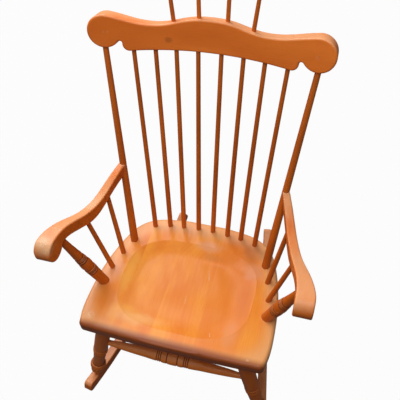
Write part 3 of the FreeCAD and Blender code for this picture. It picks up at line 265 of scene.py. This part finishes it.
class Wood:
    """Stained and lacquered wood, its grain along a direction."""

    def __init__(self, name, way, seed, pale, deep, rough):
        self.finish = bpy.context.scene.chair_finish
        self.made, self.tree = new_material(name)
        self.way = way
        self.seed = seed
        self.place = self.wood_place()
        long = self.finish.fibre_length / self.finish.fibre_width
        self.fibres = self.noise(self.grain(long), 1 / self.finish.fibre_width, *FIBRE_DETAIL)
        rings = node(self.tree, "ShaderNodeTexWave",
                     {"Vector": self.grain(RING_STRETCH),
                      "Scale": RING_SCALE / self.finish.ring_pitch, **RING_WAVER},
                     out="Fac", wave_type="RINGS", rings_direction="Z")
        self.cloud = self.noise(self.grain(CLOUD_STRETCH), *CLOUD_NOISE)
        tone = rings * RING_SHARE + self.fibres * FIBRE_SHARE + self.cloud * CLOUD_SHARE
        self.stain_and_painted_light = mix(self.tree, tone.step(*TONE_STEP), deep, pale)
        pores = self.fibres.step(*PORE_STEP)
        self.stain_and_painted_light = mix(self.tree, pores * PORE_SHARE, self.stain_and_painted_light, [PORE_SHADE * c for c in deep])
        normal = node(self.tree, "ShaderNodeTexCoord", out="Normal")
        self.facing = node(self.tree, "ShaderNodeSeparateXYZ", (normal,), out="Z")
        smudge = self.noise(object_place(self.tree), *SMUDGE_NOISE)
        self.rough = (rough + (smudge - NOISE_MIDDLE) * SMUDGE_ROUGH
                      + (self.fibres - NOISE_MIDDLE) * FIBRE_ROUGH)

    def wood_place(self):
        return object_place(self.tree)

    def grain(self, stretch):
        """Place in the wood, with Z along the grain and stretched that way."""
        shift = [pith + self.seed * step for pith, step in zip(PITH, SEED_SHIFT)]
        return centred(self.tree, self.place, shift, turn_to(self.way), (1, 1, stretch))

    def noise(self, *terms):
        return noise(self.tree, *terms)

    def vector(self, *terms, **settings):
        return vector_math(self.tree, *terms, **settings)

    def hide(self, inside, reach):
        """Share of the rays, outwards or inside the wood, that soon meet the piece."""
        near = node(self.tree, "ShaderNodeAmbientOcclusion", {"Distance": reach}, out="AO",
                    samples=HIDE_SAMPLES, inside=inside, only_local=True)
        return 1 - near

    def lay(self, mask, tint, rougher=None):
        """Lays a tint over the colour so far, and roughens it, where the mask is 1."""
        self.stain_and_painted_light = mix(self.tree, mask, self.stain_and_painted_light, tint)
        if rougher:
            self.rough = self.rough + mask * rougher

    def age(self, sheen_and_bloom, edges, groove_reach=0.009, edge_reach=0.0035, flat=(0.40, 0.95)):
        """Painted sheen, with some dust dulling the lacquer, on what faces up; staining and
        painted shade in the grooves; and rubbed edges.
        """
        # Painted sheen, with some dust dulling the lacquer, on what faces up
        sheen_bloom = self.facing.step(*flat) * self.cloud.step(*SHEEN_BLOOM_STEP)
        self.lay(sheen_bloom * sheen_and_bloom, self.finish.sheen_and_bloom, SHEEN_BLOOM_ROUGH)
        # Staining and painted shade in the grooves, where the piece hems the surface in
        grooves = self.hide(False, groove_reach).step(*GROOVE_STEP)
        self.lay(grooves * GROOVE_SHARE, self.finish.groove, GROOVE_ROUGH)
        rubbed = self.hide(True, edge_reach).step(*EDGE_STEP)
        broken = self.noise(object_place(self.tree), *BROKEN_NOISE).step(*BROKEN_STEP)
        self.lay(rubbed * broken * edges, self.finish.bare, EDGE_ROUGH)

    def specks(self, centre, radius, amount):
        """Specks of worn lacquer round a point."""
        away = self.vector("DISTANCE", object_place(self.tree), centre, out="Value")
        near = 1 - away.step(radius * SOLID_CORE, radius)
        grit = self.noise(object_place(self.tree), *GRIT_NOISE).step(*GRIT_STEP)
        self.lay(near * grit * amount, self.finish.bare, GRIT_ROUGH)

    def patch(self, place, centre, reach, tint, amount):
        """A soft-edged patch of tint, centred on a point of the given place."""
        out_of = self.vector("DIVIDE", self.vector("SUBTRACT", place, centre), reach)
        frayed = self.noise(place, *FRAY_NOISE) - NOISE_MIDDLE
        away = self.vector("LENGTH", out_of, out="Value") + frayed * FRAY_REACH
        self.lay((1 - away.step(*PATCH_STEP)) * amount, tint, PATCH_ROUGH)

    def scratch(self, place, start, end, width):
        """A thin broken line of pale wood from one point to another."""
        line = Vector(end) - Vector(start)
        out_of = self.vector("SUBTRACT", place, start)
        share = self.vector("DOT_PRODUCT", out_of, line / line.length_squared, out="Value").clamp()
        foot = node(self.tree, "ShaderNodeVectorMath", {0: line, "Scale": share},
                    operation="SCALE")
        away = self.vector("DISTANCE", out_of, foot, out="Value")
        broken = self.noise(place, *SCRATCH_NOISE).step(*SCRATCH_STEP)
        near = 1 - away.step(width * SOLID_CORE, width)
        self.lay(near * broken * SCRATCH_SHARE, self.finish.bare, SCRATCH_ROUGH)

    def line_rings(self, foot, way, rings):
        """Dark lines round a turned piece, at distances from its foot."""
        place = centred(self.tree, object_place(self.tree), foot, turn_to(way))
        along = node(self.tree, "ShaderNodeSeparateXYZ", (place,), out="Z")
        # Each line is staining at the bottom of a groove, and painted shade there
        for ring in rings:
            line = 1 - abs(along - ring).step(*RING_LINE_STEP)
            self.lay(line * RING_LINE_SHARE, self.finish.groove)

    def varnish(self, piece, relief=GRAIN_RELIEF):
        finish_material(self.tree, self.stain_and_painted_light, self.rough, self.fibres, relief, GRAIN_DEPTH,
                        LACQUER)
        put_on(self.made, piece)


# The plank, measured from a point of its top: where its boards meet across it,
# the share of deep stain on each, and how far the grain moves from one to the next

SEAT_POINT = (0.0, 0.1325, 0.398)
SEAT_PITCH = math.radians(-5.5)
BOARD_JOINTS = (-0.168, -0.058, 0.070, 0.186)
BOARD_SHARES = (0.150, 0.045, 0.0, 0.5625, 0.1125)
BOARD_ENDS = 1.0
BOARD_BLEND = 0.004
BOARD_SHIFT = (0.21, 0.9, 0.037)
JOINT_BLEND = 0.0005


class PlankWood(Wood):
    """Wood glued up from boards, with each board's grain taken from elsewhere."""

    def wood_place(self):
        level = centred(self.tree, object_place(self.tree), SEAT_POINT, (SEAT_PITCH, 0, 0))
        self.across, self.along = (
            node(self.tree, "ShaderNodeSeparateXYZ", (level,), out=axis) for axis in "XY")
        self.flat = self.vector("MULTIPLY", level, (1.0, 1.0, 0.0))
        number = sum(self.across.step(joint - JOINT_BLEND, joint + JOINT_BLEND)
                     for joint in BOARD_JOINTS)
        shift = node(self.tree, "ShaderNodeCombineXYZ", [number * step for step in BOARD_SHIFT])
        return self.vector("ADD", level, shift)


def long_axis(piece):
    """Lower or left end of a piece, and the direction in which it is longest."""
    spots = np.empty(len(piece.data.vertices) * 3)
    piece.data.vertices.foreach_get("co", spots)
    spots = spots.reshape(-1, 3)
    middle = spots.mean(0)
    way = np.linalg.svd(spots - middle, full_matrices=False)[2][0]
    way = way * math.copysign(1.0, way.sum())
    foot = middle + way * ((spots - middle) @ way).min()
    return Vector(foot), Vector(way)


def seed_of(name):
    return 1 + sorted(NODES).index(name)


def dress(names, pale, deep, way=None, sheen_and_bloom=0.3, rings=()):
    """Stains pieces that need no mark of their own, by default along their length."""
    for name in names:
        piece = NODES[name]
        foot, along = long_axis(piece)
        wood = Wood(name + "_wood", way or along, seed_of(name), pale, deep, TURNED_ROUGH)
        wood.age(sheen_and_bloom, edges=0.08, groove_reach=0.005)
        if rings:
            wood.line_rings(foot, along, rings)
        wood.varnish(piece)


def sides(stem):
    return [f"{stem}_{side}" for side in ("left", "right")]


# One operator for each piece or group of like pieces

SEAT_SEED = 7

# An oval of the plank is left clear, and the rim round it gets a pale tint: painted sheen, with
# some dusty dulling
CLEAR_MIDDLE = -0.215
CLEAR_HALF_LENGTH = 0.185
CLEAR_HALF_WIDTH = 0.19
CLEAR_TAPER = 0.20
RIM_STEP = (0.65, 1.50)
RIM_SHARE = 0.50
# The front roll gets darker towards its lower edge: darker staining on the end grain, and painted
# shade as it turns down
ROLL_STEP = (0.386, 0.410)
ROLL_SHARE = 0.92
ROLL_STAIN_AND_SHADE = (0.24, 0.037, 0.002)
# In the seat patches, pink is a painted sheen, brown a painted shadow and pale a painted light;
# deep and honey are tones of the wood
SHEEN_PINK = (0.80, 0.34, 0.17)
SHADOW_BROWN = (0.55, 0.17, 0.05)
DEEP = (0.72, 0.160, 0.006)
LIGHT_PALE = (0.97, 0.42, 0.06)
HONEY = (0.93, 0.46, 0.14)

# Centre across and along the plank, half width, half depth, tint and share
SEAT_PATCHES = (
    # The pale strip below is painted light on the shaded left wall of the dish, and the pale patch
    # after it a painted reflection at its front left
    (-0.185, -0.200, 0.022, 0.100, LIGHT_PALE, 0.75),
    (-0.150, -0.335, 0.050, 0.020, LIGHT_PALE, 0.5),
    (0.175, -0.230, 0.024, 0.090, DEEP, 0.65),
    (-0.215, -0.300, 0.035, 0.055, DEEP, 0.45),
    # The pink patches below are painted sheen, and the brown ones at the back painted shadow of
    # the spindles and crest
    (0.030, -0.060, 0.045, 0.022, SHEEN_PINK, 0.7),
    (0.045, -0.098, 0.035, 0.016, SHADOW_BROWN, 0.35),
    (0.165, -0.060, 0.030, 0.050, SHADOW_BROWN, 0.55),
    (0.185, -0.125, 0.035, 0.040, SHEEN_PINK, 0.6),
    (-0.235, -0.215, 0.028, 0.050, SHEEN_PINK, 0.6),
    (0.160, -0.340, 0.022, 0.060, SHEEN_PINK, 0.3),
    (-0.120, -0.355, 0.080, 0.022, HONEY, 0.6),
)

# From point to point of the plank, and width
SEAT_SCRATCHES = (
    ((0.049, -0.143, 0), (0.058, -0.178, 0), 0.0016),
    ((0.006, -0.243, 0), (0.009, -0.272, 0), 0.0014),
    ((0.104, -0.346, 0), (0.107, -0.357, 0), 0.0016),
)

# Centre in the room, radius and share, as for the other specks below
SEAT_SPECKS = (((-0.2431, -0.2425, 0.4342), 0.017, 0.9), ((0.2226, -0.2641, 0.4363), 0.005, 0.9))


class CHAIR_OT_seat(bpy.types.Operator):
    """Stain the dished plank, which is glued up from five boards"""

    bl_idname = "chair.seat"
    bl_label = "Seat"
    bl_options = {"REGISTER", "UNDO"}

    def execute(self, context):
        finish = context.scene.chair_finish
        wood = PlankWood("seat_wood", FRONT_TO_BACK, SEAT_SEED, finish.seat_pale, finish.seat_deep,
                         SAWN_ROUGH)
        across, along = wood.across, wood.along
        lefts = (-BOARD_ENDS, *BOARD_JOINTS)
        rights = (*BOARD_JOINTS, BOARD_ENDS)
        for share, left, right in zip(BOARD_SHARES, lefts, rights):
            board = (across.step(left - BOARD_BLEND, left + BOARD_BLEND)
                     * (1 - across.step(right - BOARD_BLEND, right + BOARD_BLEND)))
            wood.lay(board * share, finish.seat_deep)
        # Painted sheen, with some dusty dulling, on the rim round the clear oval
        aside = (across / (CLEAR_HALF_WIDTH - along * CLEAR_TAPER)) ** 2
        away = ((along - CLEAR_MIDDLE) / CLEAR_HALF_LENGTH) ** 2
        rim = (aside * aside + away * away).step(*RIM_STEP)
        wood.lay(rim * RIM_SHARE, finish.sheen_and_bloom, SHEEN_BLOOM_ROUGH)
        # Patches of wood tone, and of painted light, sheen and shadow
        for x, y, width, depth, tint, share in SEAT_PATCHES:
            wood.patch(wood.flat, (x, y, 0), (width, depth, 1.0), tint, share)
        # Front roll darkened towards its lower edge: end-grain staining and painted shade
        wood.lay((0 - along).step(*ROLL_STEP) * ROLL_SHARE, ROLL_STAIN_AND_SHADE)
        wood.age(sheen_and_bloom=0.04, edges=0.3)
        for scratch in SEAT_SCRATCHES:
            wood.scratch(wood.flat, *scratch)
        for specks in SEAT_SPECKS:
            wood.specks(*specks)
        wood.varnish(NODES["seat"])
        return {"FINISHED"}


CREST_SPECKS = (
    ((-0.2584, 0.2753, 1.0179), 0.0035, 1.0),
    ((0.2662, 0.2721, 1.0123), 0.0065, 0.25),
    ((0.2608, 0.2700, 1.0016), 0.003, 0.2),
)

# Centre in the room, half widths, tint and share, as for the hand's sheen below
CREST_SMUDGE = ((-0.1038, 0.2926, 1.0012), (0.010, 0.02, 0.007), (0.30, 0.07, 0.015), 0.45)


class CHAIR_OT_rails(bpy.types.Operator):
    """Stain the crest rail and the head rail"""

    bl_idname = "chair.rails"
    bl_label = "Rails"
    bl_options = {"REGISTER", "UNDO"}

    def execute(self, context):
        finish = context.scene.chair_finish
        for name in ("crest_rail", "head_rail"):
            wood = Wood(name + "_wood", ACROSS, seed_of(name), finish.rail_pale,
                        finish.rail_deep, SAWN_ROUGH)
            wood.age(sheen_and_bloom=0.55, edges=0.3)
            if name == "crest_rail":
                for specks in CREST_SPECKS:
                    wood.specks(*specks)
                wood.patch(object_place(wood.tree), *CREST_SMUDGE)
            wood.varnish(NODES[name])
        return {"FINISHED"}


class CHAIR_OT_spindles(bpy.types.Operator):
    """Stain the spindles of the back, the head comb and the arms"""

    bl_idname = "chair.spindles"
    bl_label = "Spindles"
    bl_options = {"REGISTER", "UNDO"}

    def execute(self, context):
        finish = context.scene.chair_finish
        names = [name for name in sorted(NODES) if "spindle" in name]
        dress(names, finish.turned_pale, finish.turned_deep)
        return {"FINISHED"}


# Distances from a piece's lower or left end to its dark lines
ARM_POST_RINGS = (0.0815, 0.0915, 0.1020, 0.1357, 0.1452, 0.1548)
LEG_RINGS = (0.0650, 0.0975, 0.1725, 0.1863, 0.1995)
STRETCHER_RINGS = (0.1732, 0.1793, 0.1853, 0.2047, 0.2370, 0.2570, 0.2630, 0.2690)


class CHAIR_OT_posts(bpy.types.Operator):
    """Stain the back posts and the arm posts"""

    bl_idname = "chair.posts"
    bl_label = "Posts"
    bl_options = {"REGISTER", "UNDO"}

    def execute(self, context):
        finish = context.scene.chair_finish
        dress(sides("back_post"), finish.turned_pale, finish.turned_deep)
        dress(sides("arm_post"), finish.turned_pale, finish.turned_deep, rings=ARM_POST_RINGS)
        return {"FINISHED"}


# The sides of the arms get a darker tint: painted shade
ARM_SIDE_STEP = (0.05, 0.40)
ARM_SIDE_SHARE = 0.5
ARM_SIDE_SHADE = (0.40, 0.085, 0.010)
ARM_RELIEF = 0.03
# A pale, whitish patch on the left hand: painted sheen
HAND_SHEEN = ((-0.335, -0.180, 0.686), (0.040, 0.035, 0.030), (0.62, 0.38, 0.20), 0.7)
HAND_SPECKS = (((-0.341, -0.170, 0.686), 0.024, 0.9), ((-0.325, -0.195, 0.680), 0.014, 0.8))


class CHAIR_OT_arms(bpy.types.Operator):
    """Stain the arms, with painted shade on their sides, and a painted sheen and worn specks on
    the left hand
    """

    bl_idname = "chair.arms"
    bl_label = "Arms"
    bl_options = {"REGISTER", "UNDO"}

    def execute(self, context):
        finish = context.scene.chair_finish
        for name in sides("arm"):
            wood = Wood(name + "_wood", FRONT_TO_BACK, seed_of(name), finish.rail_pale,
                        finish.rail_deep, SAWN_ROUGH)
            # Painted shade on the sides of the arms, which do not face up
            upright_shade = 1 - wood.facing.step(*ARM_SIDE_STEP)
            wood.lay(upright_shade * ARM_SIDE_SHARE, ARM_SIDE_SHADE)
            wood.age(sheen_and_bloom=0.55, edges=0.35, edge_reach=0.004, flat=(0.30, 0.80))
            if name == "arm_left":
                # Painted sheen on the left hand
                wood.patch(object_place(wood.tree), *HAND_SHEEN)
                for specks in HAND_SPECKS:
                    wood.specks(*specks)
            wood.varnish(NODES[name], ARM_RELIEF)
        return {"FINISHED"}


class CHAIR_OT_legs(bpy.types.Operator):
    """Stain the legs"""

    bl_idname = "chair.legs"
    bl_label = "Legs"
    bl_options = {"REGISTER", "UNDO"}

    def execute(self, context):
        finish = context.scene.chair_finish
        dress(sides("front_leg"), finish.turned_pale, finish.turned_deep, rings=LEG_RINGS)
        dress(sides("rear_leg"), finish.turned_pale, finish.turned_deep)
        return {"FINISHED"}


class CHAIR_OT_stretchers(bpy.types.Operator):
    """Stain the stretchers"""

    bl_idname = "chair.stretchers"
    bl_label = "Stretchers"
    bl_options = {"REGISTER", "UNDO"}

    def execute(self, context):
        finish = context.scene.chair_finish
        dress(["front_stretcher"], finish.rail_pale, finish.turned_pale, rings=STRETCHER_RINGS)
        names = ["rear_stretcher"] + sides("side_stretcher")
        dress(names, finish.turned_pale, finish.turned_deep)
        return {"FINISHED"}


class CHAIR_OT_rockers(bpy.types.Operator):
    """Stain the rockers"""

    bl_idname = "chair.rockers"
    bl_label = "Rockers"
    bl_options = {"REGISTER", "UNDO"}

    def execute(self, context):
        finish = context.scene.chair_finish
        dress(sides("rocker"), finish.turned_pale, finish.turned_deep, FRONT_TO_BACK, sheen_and_bloom=0.45)
        return {"FINISHED"}


STEEL_NOISE = (900.0, 2.0, 0.5)
STEEL_SHADE = 0.8
STEEL_ROUGH = 0.28
STEEL_ROUGHER = 0.2
STEEL_RELIEF = 0.15
STEEL_DEPTH = 0.0002


def steel(name, tint):
    """Turned steel, a little uneven in colour and shine."""
    made, tree = new_material(name)
    turned = noise(tree, object_place(tree), *STEEL_NOISE)
    shade = mix(tree, turned, [STEEL_SHADE * c for c in tint], tint)
    finish_material(tree, shade, STEEL_ROUGH + turned * STEEL_ROUGHER, turned, STEEL_RELIEF,
                    STEEL_DEPTH, {"Metallic": 1.0})
    return made


class CHAIR_OT_fixings(bpy.types.Operator):
    """Finish the pins and screws"""

    bl_idname = "chair.fixings"
    bl_label = "Pins and screws"
    bl_options = {"REGISTER", "UNDO"}

    def execute(self, context):
        finish = context.scene.chair_finish
        dress(["crest_pins"], finish.rail_pale, finish.rail_deep, FRONT_TO_BACK)
        metal = steel("screw_steel", finish.steel)
        for name in ("arm_screws", "rocker_screws"):
            put_on(metal, NODES[name])
        return {"FINISHED"}


# The stage. A lamp has its place, the point that it faces, and its size.

CAMERA_PLACE = (0.301, -0.6966, 1.7702)
CAMERA_DEGREES = (36.038, 3.791, 15.276)
CAMERA_LENS = 45.0
CAMERA_REACH = 50.0
WINDOW_LAMP = ((-1.70, 1.80, 3.3), (0.0, 0.0, 0.5), (2.7, 2.4))
FILL_LAMP = ((-0.10, -0.45, 2.4), (0.0, 0.1, 0.6), (1.5, 1.1))
WHITE = (1, 1, 1, 1)
FLOOR_REACH = 6.0
FLOOR_GLOW = 0.97
GLOSS_GLOW = 0.04


def put_in_scene(name, data):
    made = bpy.data.objects.new(name, data)
    bpy.context.scene.collection.objects.link(made)
    return made


def watched(tree):
    """1 for what the camera sees, a little for what shows in a gloss, 0 for light."""
    camera, gloss, glass = (
        node(tree, "ShaderNodeLightPath", out=ray)
        for ray in ("Is Camera Ray", "Is Glossy Ray", "Is Transmission Ray"))
    return (camera + (gloss + glass) * GLOSS_GLOW).clamp()


def make_floor(tint):
    mesh = bpy.data.meshes.new("floor")
    shape = bmesh.new()
    bmesh.ops.create_grid(shape, x_segments=1, y_segments=1, size=FLOOR_REACH)
    shape.to_mesh(mesh)
    shape.free()
    floor = put_in_scene("floor", mesh)
    made, tree = new_material("floor_paint")
    diffuse = node(tree, "ShaderNodeBsdfDiffuse", {"Color": (*tint, 1.0)})
    glow = node(tree, "ShaderNodeEmission", {"Color": WHITE, "Strength": 1.0})
    seen = node(tree, "ShaderNodeMixShader", (watched(tree) * FLOOR_GLOW, diffuse, glow))
    node(tree, "ShaderNodeOutputMaterial", (seen,))
    mesh.materials.append(made)


def make_sky(strength):
    """White for the camera, and an even light of the given strength."""
    world = bpy.data.worlds.new("sky")
    bpy.context.scene.world = world
    world.use_nodes = True
    tree = world.node_tree
    tree.nodes.clear()
    light = watched(tree) * (1 - strength) + strength
    sky = node(tree, "ShaderNodeBackground", {"Color": WHITE, "Strength": light})
    node(tree, "ShaderNodeOutputWorld", (sky,))


def make_lamp(name, place, aim, size, strength):
    light = bpy.data.lights.new(name, "AREA")
    light.shape = "RECTANGLE"
    light.size, light.size_y = size
    light.energy = strength
    lamp = put_in_scene(name, light)
    lamp.location = place
    lamp.rotation_euler = (Vector(aim) - Vector(place)).to_track_quat("-Z", "Y").to_euler()


def make_camera():
    lens = bpy.data.cameras.new("camera")
    lens.lens = CAMERA_LENS
    lens.clip_end = CAMERA_REACH
    camera = put_in_scene("camera", lens)
    camera.location = CAMERA_PLACE
    camera.rotation_euler = [math.radians(angle) for angle in CAMERA_DEGREES]
    bpy.context.scene.camera = camera


class CHAIR_OT_stage(bpy.types.Operator):
    """Make the floor, the sky, the lamps and the camera"""

    bl_idname = "chair.stage"
    bl_label = "Stage"
    bl_options = {"REGISTER", "UNDO"}

    def execute(self, context):
        stage = context.scene.chair_stage
        make_floor(stage.floor)
        make_sky(stage.sky)
        make_lamp("window", *WINDOW_LAMP, stage.window_power)
        make_lamp("fill", *FILL_LAMP, stage.fill_power)
        make_camera()
        context.scene.view_settings.view_transform = "Standard"
        return {"FINISHED"}


class CHAIR_PT_panel(bpy.types.Panel):
    """Lists the finish, the stage and the pieces"""

    bl_label = "Rocking chair"
    bl_space_type = "VIEW_3D"
    bl_region_type = "UI"
    bl_category = "Chair"

    def draw(self, context):
        for group in (context.scene.chair_finish, context.scene.chair_stage):
            for key in group.__annotations__:
                self.layout.prop(group, key)
        for operator in OPERATORS:
            self.layout.operator(operator.bl_idname)


OPERATORS = (
    CHAIR_OT_stage, CHAIR_OT_seat, CHAIR_OT_rails, CHAIR_OT_spindles, CHAIR_OT_posts,
    CHAIR_OT_arms, CHAIR_OT_legs, CHAIR_OT_stretchers, CHAIR_OT_rockers, CHAIR_OT_fixings,
)
CLASSES = (ChairFinish, ChairStage, *OPERATORS, CHAIR_PT_panel)


def register():
    for item in CLASSES:
        bpy.utils.register_class(item)
    bpy.types.Scene.chair_finish = PointerProperty(type=ChairFinish)
    bpy.types.Scene.chair_stage = PointerProperty(type=ChairStage)


def unregister():
    del bpy.types.Scene.chair_stage
    del bpy.types.Scene.chair_finish
    for item in reversed(CLASSES):
        bpy.utils.unregister_class(item)


def main():
    register()
    bpy.ops.chair.stage()
    bpy.ops.chair.seat()
    bpy.ops.chair.rails()
    bpy.ops.chair.spindles()
    bpy.ops.chair.posts()
    bpy.ops.chair.arms()
    bpy.ops.chair.legs()
    bpy.ops.chair.stretchers()
    bpy.ops.chair.rockers()
    bpy.ops.chair.fixings()


if __name__ == "__main__":
    main()
